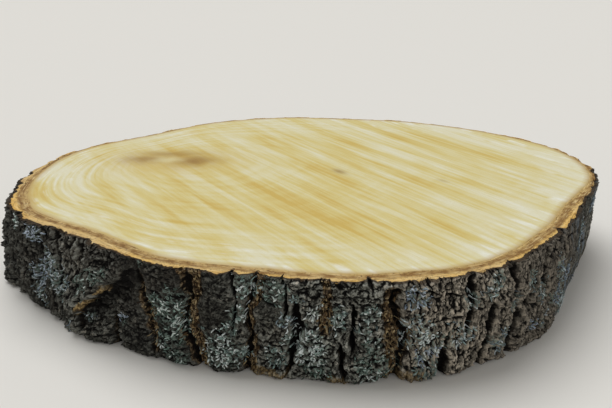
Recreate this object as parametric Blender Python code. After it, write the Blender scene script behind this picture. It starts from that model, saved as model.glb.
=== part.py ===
"""A slice sawn from a tree stem: a pale wood board 300 mm across with its furrowed bark still on.

The stem grew as one piece, so the slice is one solid. It starts as a cylinder primitive whose side is
cut into rows. Each point of the side then goes out to the stem's outline, to its lean and flare from
the sawn top to the sawn foot, and to the relief of the bark: plates that bulge a little, with a
V-shaped fissure between each two. Both sawn faces are flat.

Metres, +Z up, origin at the middle of the underside. +X is the long way across. Places round the stem
are distances along its rim in millimetres, counter-clockwise from +X as seen from above.
"""

import collections
import math
import random

import bmesh
import bpy
import numpy as np
from mathutils import Vector, noise

# The slice as sawn. The radii are evenly spaced round the stem's axis, which isn't quite the slice's middle.
THICKNESS = 0.044
STEM_AXIS = (0.0048, -0.0008)
RIM_RADII_MM = (149, 151, 143, 136, 130, 133, 134, 132, 145, 149, 147, 130, 129, 126, 131, 135, 131, 133)
FOOT_INSET = 0.003
# Where the foot stands out from that, or draws in: direction in degrees, spread in degrees, height in mm.
FOOT_SWELLINGS = ((182, 12, 14), (222, 8, 9), (322, 8, 3), (356, 8, -3.5))
BELLY = 0.0015

# The bark's fissures along the front: place, slant from foot to rim, width and depth, all in mm.
FRONT_FISSURES_MM = (
    (484, 0, 3.5, 3.0),
    (500, 1, 3.0, 3.0),
    (516, 0, 3.5, 3.0),
    (533, 1, 3.0, 3.0),
    (549, 0, 3.0, 3.5),
    (567, 4, 7.0, 4.5),
    (586, -5, 4.0, 3.5),
    (607, -2, 8.0, 4.5),
    (631, 6, 4.5, 4.5),
    (648, 7, 3.5, 4.5),
    (667, 0, 4.0, 4.0),
    (685, -2, 8.0, 4.5),
    (700, 0, 2.5, 2.5),
    (712, 7, 4.5, 4.5),
    (726, 0, 3.0, 4.0),
    (741, -5, 3.5, 4.5),
    (753, 0, 2.5, 3.0),
    (768, -3, 3.0, 3.0),
    (784, 0, 2.5, 2.5),
    (800, 1, 2.5, 2.2),
    (817, 0, 2.5, 2.2),
    (834, -1, 2.5, 2.2),
    (851, 0, 2.5, 2.5),
)
# The rest of them, round the back, come at this spacing with some chance in it.
BACK_PITCH = 0.0152
BACK_SEED = 7
BACK_JITTER = 0.18
BACK_SLANTS = (-0.003, 0.003)
BACK_WIDTHS = (0.0028, 0.0050)
BACK_DEPTHS = (0.0026, 0.0046)

# The bark's smaller shapes.
BARK_STAND = 0.0008
PLATE_BULGE = 0.0008
WANDER = 0.0012
BARK_LUMPS = 0.0010
LUMP_SIZE = 0.016

# The mesh: columns of points for each fissure and the plate beside it, and rows up the side.
PLATE_INNER_SHARES = (0.33, 0.67)
SIDE_ROWS = 8
ARC_SAMPLES = 2880
# The primitive's first corner is some quarter steps off +X, so an eighth of a step keeps clear of a tie.
QUARTER_STEP_SLACK = 0.125

SAWN_WOOD = ("sawn_wood", (0.70, 0.55, 0.28, 1.0), 0.62)
BARK = ("bark", (0.045, 0.040, 0.034, 1.0), 0.9)

Fissure = collections.namedtuple("Fissure", "place slant width depth phase")


def rim_radius(angle):
    """The sawn top's radius: a closed smooth curve through the stem's radii."""
    count = len(RIM_RADII_MM)
    place = (angle % math.tau) / math.tau * count
    step = int(place)
    share = place - step
    before, here, after, beyond = (RIM_RADII_MM[(step + k) % count] / 1000 for k in (-1, 0, 1, 2))
    slope = after - before
    bend = 2 * before - 5 * here + 4 * after - beyond
    twist = 3 * (here - after) + beyond - before
    return here + 0.5 * share * (slope + share * (bend + share * twist))


def foot_radius(angle):
    """The underside's radius: the rim's, drawn in a little, with the swellings that the stem has there."""
    radius = rim_radius(angle) - FOOT_INSET
    for direction, spread, height in FOOT_SWELLINGS:
        turn = math.remainder(math.degrees(angle) - direction, 360)
        radius += height / 1000 * math.exp(-((turn / spread) ** 2))
    return radius


def stem_radius(angle, up):
    """The stem's radius at a share of the height, 0 at the foot and 1 at the rim, with a slight belly."""
    return foot_radius(angle) * (1 - up) + rim_radius(angle) * up + BELLY * math.sin(math.pi * up)


def arc_table():
    """Angles round the rim and the distance along it to each, so that places on the bark are real lengths."""
    angles = np.linspace(0, math.tau, ARC_SAMPLES + 1)
    radii = np.array([rim_radius(angle) for angle in angles])
    points = np.stack([radii * np.cos(angles), radii * np.sin(angles)], axis=1)
    steps = np.linalg.norm(np.diff(points, axis=0), axis=1)
    return angles, np.concatenate([[0.0], np.cumsum(steps)])


def grow_fissures(girth):
    """All the fissures in order round the stem: the front's as listed, then the back's by rule."""
    chance = random.Random(BACK_SEED)
    fissures = []
    for sizes in FRONT_FISSURES_MM:
        fissures.append(Fissure(*(size / 1000 for size in sizes), chance.uniform(0, math.tau)))
    start = fissures[-1].place
    gap = fissures[0].place + girth - start
    count = round(gap / BACK_PITCH) - 1
    pitch = gap / (count + 1)
    for number in range(count):
        place = start + pitch * (number + 1 + chance.uniform(-BACK_JITTER, BACK_JITTER))
        slant = chance.uniform(*BACK_SLANTS)
        width = chance.uniform(*BACK_WIDTHS)
        depth = chance.uniform(*BACK_DEPTHS)
        fissures.append(Fissure(place, slant, width, depth, chance.uniform(0, math.tau)))
    return fissures


def lay_columns(fissures, girth):
    """Each column of points: the fissures beside it, its share of the way between them, its shift and relief.

    A fissure has its two shoulders and its floor, and the plate after it has columns of its own.
    """
    columns = []
    followers = fissures[1:] + [fissures[0]._replace(place=fissures[0].place + girth)]
    for here, after in zip(fissures, followers):
        for side in (-1, 0, 1):
            relief = -here.depth if side == 0 else 0.0
            columns.append((here, after, 0.0, side * here.width / 2, relief))
        for share in PLATE_INNER_SHARES:
            shoulder = here.width / 2 * (1 - share) - after.width / 2 * share
            columns.append((here, after, share, shoulder, PLATE_BULGE))
    return columns


def fissure_line(fissure, up):
    """Where the fissure runs at that height: its slant, and a little wander."""
    return fissure.place + fissure.slant * (up - 0.5) + WANDER * math.sin(fissure.phase + 2.2 * math.pi * up)


def side_point(column, up, girth, table):
    """Where a point of the bark lies: the stem's surface there, pushed out or in by the relief."""
    here, after, share, shoulder, relief = column
    along = fissure_line(here, up) * (1 - share) + fissure_line(after, up) * share + shoulder
    angle = float(np.interp(along % girth, table[1], table[0]))
    spot = Vector((math.cos(angle), math.sin(angle), 0)) * stem_radius(angle, up)
    spot.z = THICKNESS * up
    lumps = BARK_LUMPS * noise.noise(spot / LUMP_SIZE)
    reach = spot.xy.length + BARK_STAND + relief + lumps
    return Vector((STEM_AXIS[0] + math.cos(angle) * reach, STEM_AXIS[1] + math.sin(angle) * reach, spot.z))


def finish_material(name, colour, roughness):
    """A plain finish of that colour."""
    material = bpy.data.materials.new(name)
    material.use_nodes = True
    shader = material.node_tree.nodes["Principled BSDF"]
    shader.inputs["Base Color"].default_value = colour
    shader.inputs["Roughness"].default_value = roughness
    shader.inputs["Metallic"].default_value = 0.0
    return material


def cut_cylinder(column_count):
    """A unit cylinder with a flat fan at each end, and its side cut into rows."""
    shape = bmesh.new()
    bmesh.ops.create_cone(
        shape, cap_ends=True, cap_tris=True, segments=column_count, radius1=1, radius2=1, depth=1
    )
    uprights = [edge for edge in shape.edges if abs(edge.verts[0].co.z - edge.verts[1].co.z) > 0.5]
    bmesh.ops.subdivide_edges(shape, edges=uprights, cuts=SIDE_ROWS - 1, use_grid_fill=True)
    return shape


def column_number(point, count):
    """Which column a corner of the cylinder belongs to, counted round from +X."""
    turn = math.atan2(point.y, point.x) % math.tau
    return math.floor(turn / math.tau * count + QUARTER_STEP_SLACK) % count


def shape_stem(shape, columns, girth, table):
    """Moves the cylinder's points out to the bark. The fans' centres go to the stem's axis."""
    for point in shape.verts:
        up = point.co.z + 0.5
        if point.co.xy.length < 0.5:
            point.co = Vector((*STEM_AXIS, THICKNESS * up))
            continue
        column = columns[column_number(point.co, len(columns))]
        point.co = side_point(column, up, girth, table)


def make_wood_slice():
    """The whole slice, with its sawn faces in one finish and its bark in another."""
    table = arc_table()
    girth = float(table[1][-1])
    columns = lay_columns(grow_fissures(girth), girth)
    shape = cut_cylinder(len(columns))
    shape_stem(shape, columns, girth, table)
    shape.normal_update()
    for face in shape.faces:
        face.material_index = 0 if abs(face.normal.z) > 0.99 else 1
    mesh = bpy.data.meshes.new("wood_slice")
    shape.to_mesh(mesh)
    shape.free()
    mesh.materials.append(finish_material(*SAWN_WOOD))
    mesh.materials.append(finish_material(*BARK))
    mesh.shade_smooth()
    mesh.set_sharp_from_angle(angle=math.radians(50))
    return bpy.data.objects.new("wood_slice", mesh)


def main():
    for leftover in list(bpy.data.objects):
        bpy.data.objects.remove(leftover)
    collection = bpy.data.collections.new("wood_slice")
    bpy.context.scene.collection.children.link(collection)
    collection.objects.link(make_wood_slice())


main()
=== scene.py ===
"""The looks of a slice sawn from a lichened tree stem, about 300 mm across and 44 mm thick.

The slice has four kinds of surface, each its own operator: the sawn wood, the inner bark that rings it
as a brown line and a golden band, the furrowed outer bark, and the leafy lichen that grows on that.
All are worked out in millimetres over two coordinates that follow the stem: the place along its rim,
counter-clockwise from +X as seen from above, and the height over the underside.
"""

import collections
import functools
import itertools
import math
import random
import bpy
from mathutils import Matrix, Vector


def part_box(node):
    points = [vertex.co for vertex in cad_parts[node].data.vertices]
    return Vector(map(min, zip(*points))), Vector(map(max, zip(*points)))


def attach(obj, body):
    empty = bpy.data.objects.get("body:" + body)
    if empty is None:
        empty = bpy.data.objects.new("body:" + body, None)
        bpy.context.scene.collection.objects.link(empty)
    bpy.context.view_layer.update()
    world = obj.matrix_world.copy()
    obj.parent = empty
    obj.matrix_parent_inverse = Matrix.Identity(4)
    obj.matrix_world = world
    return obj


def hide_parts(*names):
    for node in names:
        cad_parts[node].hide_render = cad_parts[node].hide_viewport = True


bl_info = {
    "name": "Wood Slice",
    "version": (1, 0, 0),
    "blender": (4, 5, 0),
    "location": "3D View > Sidebar > Wood Slice",
    "description": "A slice of a tree stem with sawn faces, furrowed bark and lichen",
    "category": "Add Mesh",
}

import bpy
import numpy as np
from bpy.props import FloatProperty, FloatVectorProperty, IntProperty, PointerProperty
from mathutils import Vector

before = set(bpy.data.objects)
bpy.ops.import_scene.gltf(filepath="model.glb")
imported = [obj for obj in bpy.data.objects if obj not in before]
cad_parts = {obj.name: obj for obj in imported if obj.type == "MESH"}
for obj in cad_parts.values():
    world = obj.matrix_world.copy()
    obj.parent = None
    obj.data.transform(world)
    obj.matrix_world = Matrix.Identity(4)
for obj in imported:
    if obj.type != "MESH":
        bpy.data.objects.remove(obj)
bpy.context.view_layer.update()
SLICE_LOW, SLICE_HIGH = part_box("wood_slice")

MM = 0.001
THICKNESS = (SLICE_HIGH[2] - SLICE_LOW[2]) / MM

# The stem, in millimetres: even radii of the sawn top, and how the foot differs from it. Each swelling is
# (direction in degrees, spread in degrees, height).
STEM_AXIS = np.array((4.8, -0.8))
RIM_RADII = np.array(
    (149, 151, 143, 136, 130, 133, 134, 132, 145, 149, 147, 130, 129, 126, 131, 135, 131, 133), float
)
FOOT_INSET = 3.0
FOOT_SWELLINGS = ((182, 12, 14), (222, 8, 9), (322, 8, 3), (356, 8, -3.5))
BELLY = 1.5

# Bands of the cut rim, as distances in from the rim's outline. The pieces overlap where nothing shows.
WOOD_EDGE = 8.0
HIDDEN_WALL = 9.5
HIDDEN_BARK = 8.5
HIDDEN_BAND_OUTSIDE = 7.0
HIDDEN_BAND_INSIDE = 8.3
TOP_WAVER_SEED = 33
FOOT_WAVER_SEED = 35

# How finely the surfaces are worked out.
BARK_STEP = 0.34
COLUMNS_PER_SPOKE = 3

# The bark's pieces meet at these places, each in a fissure.
SEAMS = (161, 384, 607, 834)

FLOOR_HALF = 30.0
FLOOR_LEVEL = -0.0002

# The directions that noise picks from.
SLOPES = np.random.default_rng(1).normal(size=(64, 3))
SLOPES /= np.linalg.norm(SLOPES, axis=1, keepdims=True)

Fissure = collections.namedtuple("Fissure", "place slant width depth low high rust notch side phase")

# The fissures along the front: place, slant from foot to rim, width and depth in millimetres, the shares of
# the height where each starts and ends, how much rust-brown fibre it holds, how much of its depth cuts the
# rim, and which side of the fibre its open slot lies on: -1 the left, 1 the right, 0 neither.
FRONT_FISSURES = (
    (484, 0, 3.0, 3.0, 0.0, 1.0, 0.1, 0.3, 1), (500, 1, 2.6, 3.0, 0.0, 1.0, 0.1, 0.3, 1),
    (516, 0, 3.0, 3.0, 0.0, 0.8, 0.1, 0.0, 1), (533, 1, 2.4, 3.0, 0.0, 1.0, 0.2, 0.2, 1),
    (550, 0, 2.0, 4.0, 0.5, 1.0, 0.2, 0.3, 1), (548, 0, 2.6, 3.5, 0.0, 0.3, 0.3, 0.0, 1),
    (567, 4, 3.4, 4.5, 0.0, 0.5, 0.5, 0.0, 1), (586, -5, 6.4, 4.4, 0.05, 0.95, 1.0, 0.3, -1),
    (607, -2, 9.0, 5.0, 0.0, 1.0, 1.0, 0.3, -1), (625.5, -5, 1.5, 4.0, 0.45, 1.0, 0.1, 1.0, 1),
    (631, 6, 4.8, 4.5, 0.0, 1.0, 0.8, 0.7, -1), (644, -1, 1.4, 3.5, 0.6, 1.0, 0.1, 1.0, 1),
    (648, 7, 3.4, 4.8, 0.04, 0.8, 0.1, 0.0, 1), (659, 2, 4.5, 2.6, 0.45, 1.0, 1.0, 0.2, 0),
    (669.5, 0, 2.2, 4.2, 0.3, 0.82, 0.1, 0.0, 1), (666, 0, 3.2, 4.6, 0.03, 0.42, 0.5, 0.0, 1),
    (678, 0, 1.8, 3.2, 0.9, 1.0, 0.0, 1.0, 1), (686, -2, 8.5, 4.6, 0.0, 0.98, 1.0, 0.1, 1),
    (699, 0, 1.8, 3.0, 0.9, 1.0, 0.0, 1.0, 1), (700, -2, 1.8, 2.4, 0.1, 0.42, 0.2, 0.0, 1),
    (715, 5, 3.8, 4.8, 0.4, 1.0, 0.15, 0.3, 1), (707, 3, 3.6, 4.6, 0.0, 0.48, 0.4, 0.0, 1),
    (726, 0, 4.4, 4.4, 0.0, 0.68, 0.2, 0.0, 1), (740.5, -6, 5.4, 4.6, 0.0, 1.0, 0.15, 0.3, 1),
    (751, 0, 3.2, 3.6, 0.45, 0.95, 0.1, 0.0, 1), (765, 0, 3.4, 3.4, 0.4, 0.95, 0.1, 0.0, 1),
    (769, 0, 3.4, 3.4, 0.1, 0.5, 0.1, 0.0, 1), (784, 0, 2.8, 2.6, 0.0, 1.0, 0.0, 1.0, 1),
    (800, 1, 2.0, 2.0, 0.0, 1.0, 0.0, 0.1, 1), (817, 0, 2.0, 2.0, 0.0, 1.0, 0.1, 0.1, 1),
    (834, -1, 2.0, 2.0, 0.0, 1.0, 0.0, 0.2, 1), (851, 0, 2.4, 2.5, 0.0, 1.0, 0.1, 0.4, 1),
)
FRONT_SEED = 3
# Round the back they come at this spacing, with some chance in it.
BACK_PITCH = 15.2
BACK_SEED = 7

# Brown arms, as x and y from the heart, half-length, half-width and strength, and dark marks from the axis.
HEART_ARMS = ((-15, 2, 12, 8, 0.9), (12, -1, 12, 10, 1.0), (-2, 12, 19, 6, 0.7))
DARK_MARKS = ((18, 7, 5, 2.4, 0.7), (70, -9, 3.5, 1.6, 0.35), (-60, 24, 5, 2.2, 0.4))

# Patches of lichen on the front: place, height, radius, how pale they are and how blue.
FRONT_PATCHES = (
    (519, 42, 4.5, 1.2, 0.9), (518, 40, 5, 1, 0.9), (502, 41, 4, 0.9, 0.1), (528, 30, 5, 0.9, 0.6),
    (533, 20, 8, 0.9, 0.4), (516, 19, 6, 0.7, 0.7), (516, 9, 6, 0.5, 0.4), (523, 25, 5, 0.8, 0.8),
    (551, 25, 5, 0.3, 0), (559, 31, 4, 0.3, 0), (565, 33, 3, 0.3, 0), (554, 11, 3, 0.5, 0.4),
    (573, 15, 3, 0.4, 0.8), (542, 3, 3, 0.6, 0.5), (585, 44, 2, 0.3, 0), (589, 26, 5, 0.15, 0),
    (599, 26, 9, 0.4, 0), (601, 16, 6, 0.3, 0), (591, 11, 4, 0.6, 0.1), (598, 4, 6, 0.15, 0),
    (630, 39, 6, 0.8, 0.1), (640, 39, 6, 0.3, 0), (626, 27, 4, 0.8, 0.1), (622, 20, 4, 0.6, 0.1),
    (618, 10, 9, 1.1, 0.1), (625, 10, 5, 0.4, 0.1), (641, 11, 5, 0.4, 0.1), (644, 27, 3, 0.6, 0.4),
    (649, 36, 2.5, 0.7, 0.3), (655, 31, 3, 1.5, 0), (653, 17, 9, 1.1, 0.1), (657, 7, 6, 0.3, 0),
    (664, 27, 4, 0.5, 0.1), (665, 32, 3, 0.5, 0.1), (675, 24, 3, 0.9, 0.1), (677, 31, 4, 0.5, 0.1),
    (678, 18, 4, 0.5, 0), (679, 7, 9, 0.4, 0), (694, 38, 5, 0.4, 0.7), (694, 26, 5, 0.8, 0.3),
    (692, 19, 4, 0.6, 0.2), (700, 18, 7, 1.1, 0.1), (698, 12, 5, 0.6, 0.9), (700, 5, 6, 0.3, 0.1),
    (712, 20, 6, 0.7, 0.3), (717, 32, 4, 0.6, 0.2), (725, 36, 4, 0.5, 0.2), (727, 41, 3, 0.2, 0.1),
    (734, 12, 6, 0.5, 0.4), (739, 27, 4, 0.3, 0.3), (755, 11, 3, 0.5, 1), (752, 32, 4, 0.3, 0.2),
    (760, 25, 5, 0.4, 0.3), (766, 10, 5, 0.2, 0.4), (776, 30, 5, 0.2, 0.5), (790, 22, 6, 0.15, 0.6),
)
# Round the back, each patch's height, radius, paleness and blueness lie between these.
BACK_PATCHES = 34
BACK_PATCH_LIMITS = ((4, 40), (2.5, 8), (0.1, 0.8), (0, 0.7))
PATCH_SEED = 21

# How light the bark is along the rim: place and share of its usual colour.
BARK_SHADES = (
    (480, 0.6), (520, 0.5), (545, 1.1), (566, 0.7), (580, 0.55), (598, 0.55), (612, 0.65), (640, 1.35),
    (662, 1.5), (690, 1.55), (712, 1.75), (735, 1.15), (765, 0.8), (790, 0.75), (812, 1.2), (845, 1.6),
    (880, 1.0),
)


# ---- Numbers and noise ----


def srgb(code):
    """A colour's linear red, green, blue and alpha from its six hex digits."""
    values = (int(code[k : k + 2], 16) / 255 for k in (0, 2, 4))
    linear = (v / 12.92 if v <= 0.04045 else ((v + 0.055) / 1.055) ** 2.4 for v in values)
    return (*linear, 1.0)


def ease(low, high, value):
    """0 up to low and 1 from high, with a smooth S of 3t^2 - 2t^3 between."""
    share = np.clip((value - low) / (high - low), 0, 1)
    return share * share * (3 - 2 * share)


def corner_slope(corner, seed):
    """A slope for each whole-numbered corner: one of 64 directions, picked by mixing the corner's bits."""
    parts = corner.astype(np.int64).astype(np.uint32)
    mixed = parts[..., 0] * np.uint32(0x8DA6B343) + parts[..., 1] * np.uint32(0xD8163841)
    mixed += parts[..., 2] * np.uint32(0xCB1AB31F) + np.uint32((seed * 0x9E3779B1) & 0xFFFFFFFF)
    mixed ^= mixed >> np.uint32(15)
    mixed *= np.uint32(0x2C1B3C6D)
    mixed ^= mixed >> np.uint32(12)
    mixed *= np.uint32(0x297A2D39)
    mixed ^= mixed >> np.uint32(15)
    return SLOPES[mixed & np.uint32(63)]


def noise(points, size, seed):
    """Smooth noise from about -1 to 1 with lumps of that size.

    It blends the slopes of the eight corners round each point, each times the way from its corner, by
    6t^5 - 15t^4 + 10t^3.
    """
    spots = points / np.asarray(size, float)
    cell = np.floor(spots)
    share = spots - cell
    blend = share**3 * (share * (share * 6 - 15) + 10)
    total = 0.0
    for corner in itertools.product((0, 1), repeat=3):
        weight = np.prod(np.where(corner, blend, 1 - blend), axis=-1)
        lean = np.sum(corner_slope(cell + corner, seed) * (share - corner), axis=-1)
        total = total + weight * lean
    return 1.6 * total


def strayed(points, size, reach, seed):
    """The points moved by noise of that size along each axis, so that patterns over them lose their grid."""
    moves = [noise(points, size, seed + 200 + axis) for axis in range(3)]
    return points + reach * np.stack(moves, axis=-1)


def rough_noise(points, size, seed, layers=3):
    """Layers of noise, each half as large and half as strong as the one before."""
    total = 0.0
    for layer in range(layers):
        total = total + noise(points, np.asarray(size, float) / 2**layer, seed + 17 * layer) / 2**layer
    return total / (2 - 2 ** (1 - layers))


# ---- The stem ----


def closed_curve(values, angle):
    """A smooth closed curve through even values: the Catmull-Rom cubic between each two."""
    place = (angle % math.tau) / math.tau * len(values)
    step = np.floor(place).astype(int)
    share = place - step
    before, here, after, beyond = (values[(step + k) % len(values)] for k in (-1, 0, 1, 2))
    slope = after - before
    bend = 2 * before - 5 * here + 4 * after - beyond
    twist = 3 * (here - after) + beyond - before
    return here + 0.5 * share * (slope + share * (bend + share * twist))


def foot_radius(angle):
    """The rim's radius, drawn in, plus a bell curve for each swelling."""
    radius = closed_curve(RIM_RADII, angle) - FOOT_INSET
    for direction, spread, height in FOOT_SWELLINGS:
        turn = (np.degrees(angle) - direction + 180) % 360 - 180
        radius = radius + height * np.exp(-((turn / spread) ** 2))
    return radius


def around_axis(angle, radius):
    """Points in plan at that radius from the stem's axis."""
    return STEM_AXIS + radius[..., None] * np.stack([np.cos(angle), np.sin(angle)], axis=-1)


def rim_line(angle):
    """The rim's points in plan and their outward normals, the tangent turned a quarter clockwise."""
    step = 0.002
    ahead = around_axis(angle + step, closed_curve(RIM_RADII, angle + step))
    behind = around_axis(angle - step, closed_curve(RIM_RADII, angle - step))
    tangent = ahead - behind
    tangent /= np.linalg.norm(tangent, axis=-1, keepdims=True)
    normal = np.stack([tangent[..., 1], -tangent[..., 0]], axis=-1)
    return (ahead + behind) / 2, normal


def measure_rim():
    """Angles round the stem and the distance along the rim to each."""
    angles = np.linspace(0, math.tau, 5761)
    points = around_axis(angles, closed_curve(RIM_RADII, angles))
    steps = np.linalg.norm(np.diff(points, axis=0), axis=1)
    return angles, np.concatenate([[0.0], np.cumsum(steps)])


ARC_ANGLES, ARC_PLACES = measure_rim()
GIRTH = ARC_PLACES[-1]
COLUMNS = COLUMNS_PER_SPOKE * round(GIRTH / BARK_STEP / COLUMNS_PER_SPOKE)


def angle_at(place):
    """The direction from the stem's axis to a place on the rim."""
    return np.interp(place % GIRTH, ARC_PLACES, ARC_ANGLES)


def wrapped(gap):
    """A difference of two places, the short way round."""
    return (gap + GIRTH / 2) % GIRTH - GIRTH / 2


def stem_surface(place, height):
    """The bare stem: a straight line from foot to rim, with a belly of one sine arch. Also its normals."""
    place, height = np.broadcast_arrays(place, height)
    angle = angle_at(place)
    rim, normal = rim_line(angle)
    foot = around_axis(angle, foot_radius(angle))
    up = (height / THICKNESS)[..., None]
    plan = foot * (1 - up) + rim * up + normal * BELLY * np.sin(math.pi * up)
    return np.concatenate([plan, height[..., None]], axis=-1), normal


# ---- The outer bark's shape ----


def grow_fissures():
    """The front's fissures as listed, the back's by rule, and short ones between those."""
    chance = random.Random(FRONT_SEED)
    fissures = [Fissure(*sizes, chance.uniform(0, math.tau)) for sizes in FRONT_FISSURES]
    start = fissures[-1].place
    gap = fissures[0].place + GIRTH - start
    count = round(gap / BACK_PITCH) - 1
    pitch = gap / (count + 1)
    chance = random.Random(BACK_SEED)
    extra = random.Random(BACK_SEED + 1)
    for number in range(count):
        place = start + pitch * (number + 1 + chance.uniform(-0.18, 0.18))
        slant = chance.uniform(-3, 3)
        width = chance.uniform(2.8, 5.0)
        depth = chance.uniform(2.6, 4.6)
        phase = chance.uniform(0, math.tau)
        rust = extra.choice((0.1, 0.2, 0.6, 1.0))
        notch = extra.choice((0.1, 0.2, 0.3, 0.9))
        side = extra.choice((-1, 1))
        fissures.append(Fissure(place % GIRTH, slant, width, depth, 0.0, 1.0, rust, notch, side, phase))
        beside = (place + pitch * extra.uniform(0.35, 0.65)) % GIRTH
        low = extra.choice((0.0, 0.3, 0.55))
        if extra.random() < 0.6:
            slant = extra.uniform(-4, 4)
            fissures.append(Fissure(beside, slant, 1.8, 2.8, low, low + 0.45, 0.1, 0.2, 1, -phase))
    return fissures


def fissure_line(fissure, up):
    """A fissure's place at each share of the height: its slant and a wander of three sines."""
    wander = 1.2 * np.sin(fissure.phase + 2.2 * math.pi * up)
    wander = wander + 0.5 * np.sin(2.3 * fissure.phase + 15 * up)
    wander = wander + 0.25 * np.sin(5.1 * fissure.phase + 34 * up)
    return fissure.place + fissure.slant * (up - 0.5) + wander


def fissure_reach(fissure, up):
    """1 where the fissure is open and 0 past its ends, with a short taper at each end inside the wall."""
    reach = np.ones_like(up)
    if fissure.low > 0:
        reach = reach * ease(fissure.low - 0.04, fissure.low + 0.1, up)
    if fissure.high < 1:
        reach = reach * (1 - ease(fissure.high - 0.1, fissure.high + 0.05, up))
    return reach


def cut_fissures(fissures, place, height, jag):
    """Depth of the fissures, distance to the nearest shoulder, and how rusty, over the whole bark.

    Across a fissure, the depth is flat to half its half-width and eases out to 1.15 of it. One that holds
    rusty fibre is a shelf at 0.36 of the depth with a slot beside it down to the whole of it.
    """
    up = height / THICKNESS
    depth = np.zeros((len(place), len(height)))
    shoulder = np.full_like(depth, 9.0)
    rust = np.zeros_like(depth)
    for fissure in fissures:
        near = np.abs(wrapped(place - fissure.place)) < 16
        reach = fissure_reach(fissure, up)
        swell = 1 + 0.3 * np.sin(3 * fissure.phase + 9 * up) + 0.15 * np.sin(7 * fissure.phase + 27 * up)
        half = np.maximum(fissure.width / 2 * reach * swell, 0.12)
        signed = wrapped(place[near][:, None] - fissure_line(fissure, up)) + jag[near]
        ratio = np.abs(signed) / half
        inside = 1 - ease(0.5, 1.15, ratio)
        if fissure.rust > 0.5:
            slot_line = fissure.width * (0.32 * fissure.side + 0.07 * np.sin(fissure.phase + 6 * up))
            slot = np.exp(-(((signed - slot_line) / (0.27 * fissure.width)) ** 4)) * abs(fissure.side)
            inside = inside * (0.36 + 0.64 * slot)
        rim = 1 - (1 - fissure.notch) * ease(THICKNESS - 3.5, THICKNESS - 0.8, height)
        opening = fissure.depth * rim * np.sqrt(reach) * inside
        depth[near] = np.maximum(depth[near], opening)
        gap = np.abs(signed) - half + 8 * (1 - reach)
        shoulder[near] = np.minimum(shoulder[near], gap)
        rust[near] = np.maximum(rust[near], fissure.rust * reach * (1 - ease(0.75, 1.1, ratio)))
    return depth, np.maximum(shoulder, 0), rust


def number_plates(fissures, place, height):
    """Which plate each point is on, between two fissures of the whole height, and how far along it."""
    whole = sorted((f for f in fissures if f.low <= 0.05 and f.high >= 0.9), key=lambda f: f.place)
    lines = np.array([fissure_line(f, height / THICKNESS) for f in whole])
    plate = np.stack([np.searchsorted(np.sort(line), place) for line in lines.T], axis=1) % len(whole)
    start = lines[plate - 1, np.arange(len(height))]
    return plate, (place[:, None] - start) % GIRTH


def crack_plates(points, plate, along, height):
    """Crosswise cracks in the plates: their depth, and the number of the block between two of them.

    Each plate has three, at its own heights and slopes, strayed by noise and missing in places.
    """
    table = np.random.default_rng(5)
    count = plate.max() + 1
    levels = THICKNESS * (np.arange(3) + 0.6 + table.uniform(-0.35, 0.35, (count, 3))) / 3.2
    slopes = table.uniform(-0.25, 0.25, (count, 3))
    stray = 1.3 * noise(points, 7, 51) + 0.5 * noise(points, 2.2, 52)
    presence = ease(-0.25, 0.25, noise(points, 9, 53))
    depth = np.zeros(plate.shape)
    block = plate * 4
    for number in range(3):
        level = levels[plate, number] + slopes[plate, number] * (along - 7) + stray
        gap = height[None, :] - level
        opening = 1 - ease(0.15, 0.75, np.abs(gap))
        depth = np.maximum(depth, 1.5 * opening * presence)
        block = block + (gap > 0)
    return depth, block


def flake(points):
    """Flaked layers: noise cut into steps, each with a short steep rise."""
    level = 4 * rough_noise(points, (12, 12, 6), 61, 4) + 0.25 * noise(points, 1.6, 62)
    step = np.floor(level)
    return step + ease(0.0, 0.3, level - step)


def scales(points, size, seed):
    """Rounded scales with sharp creases between: the sizes of two noises, the second about half as large."""
    half = np.asarray(size, float) / 2.1
    return 1.2 * np.abs(noise(points, size, seed)) + 0.6 * np.abs(noise(points, half, seed + 100))


def chips(place, height, wide, tall, seed):
    """Angular chips about that wide and tall: a number from 0 to 1 for each, and how far it is to a crack.

    Each cell of a grid has a chance point, and each place belongs to the nearest of them. A crack runs where
    the two nearest points are equally far.
    """
    count = round(GIRTH / wide)
    table = np.random.default_rng(seed).uniform(0, 1, (count, 64, 3))
    spot = np.stack([place / GIRTH * count, height / tall], axis=-1)
    cell = np.floor(spot).astype(int)
    nearest = np.full(place.shape, 9.0)
    second = nearest.copy()
    number = np.zeros(place.shape)
    for step in itertools.product((-1, 0, 1), repeat=2):
        corner = cell + step
        chance = table[corner[..., 0] % count, corner[..., 1] % 64]
        gap = np.linalg.norm(corner + chance[..., :2] - spot, axis=-1)
        closer = gap < nearest
        second = np.where(closer, nearest, np.minimum(second, gap))
        number = np.where(closer, chance[..., 2], number)
        nearest = np.where(closer, gap, nearest)
    return number, second - nearest


def cracked(place, height, wide, tall, seed):
    """Relief of chips from -0.5 to 0.5, each at its own height, with a groove in the crack round it."""
    number, gap = chips(place, height, wide, tall, seed)
    return number - 0.5 - 0.7 * (1 - ease(0.0, 0.3, gap))


def blurred(values, reach):
    """The values averaged over that many neighbours each way, wrapped round the stem, in two passes."""
    for _ in range(2):
        values = sum(np.roll(values, step, axis=0) for step in range(-reach, reach + 1)) / (2 * reach + 1)
        padded = np.pad(values, ((0, 0), (reach, reach)), mode="edge")
        rows = values.shape[1]
        values = sum(padded[:, step : step + rows] for step in range(2 * reach + 1)) / (2 * reach + 1)
    return values


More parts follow.
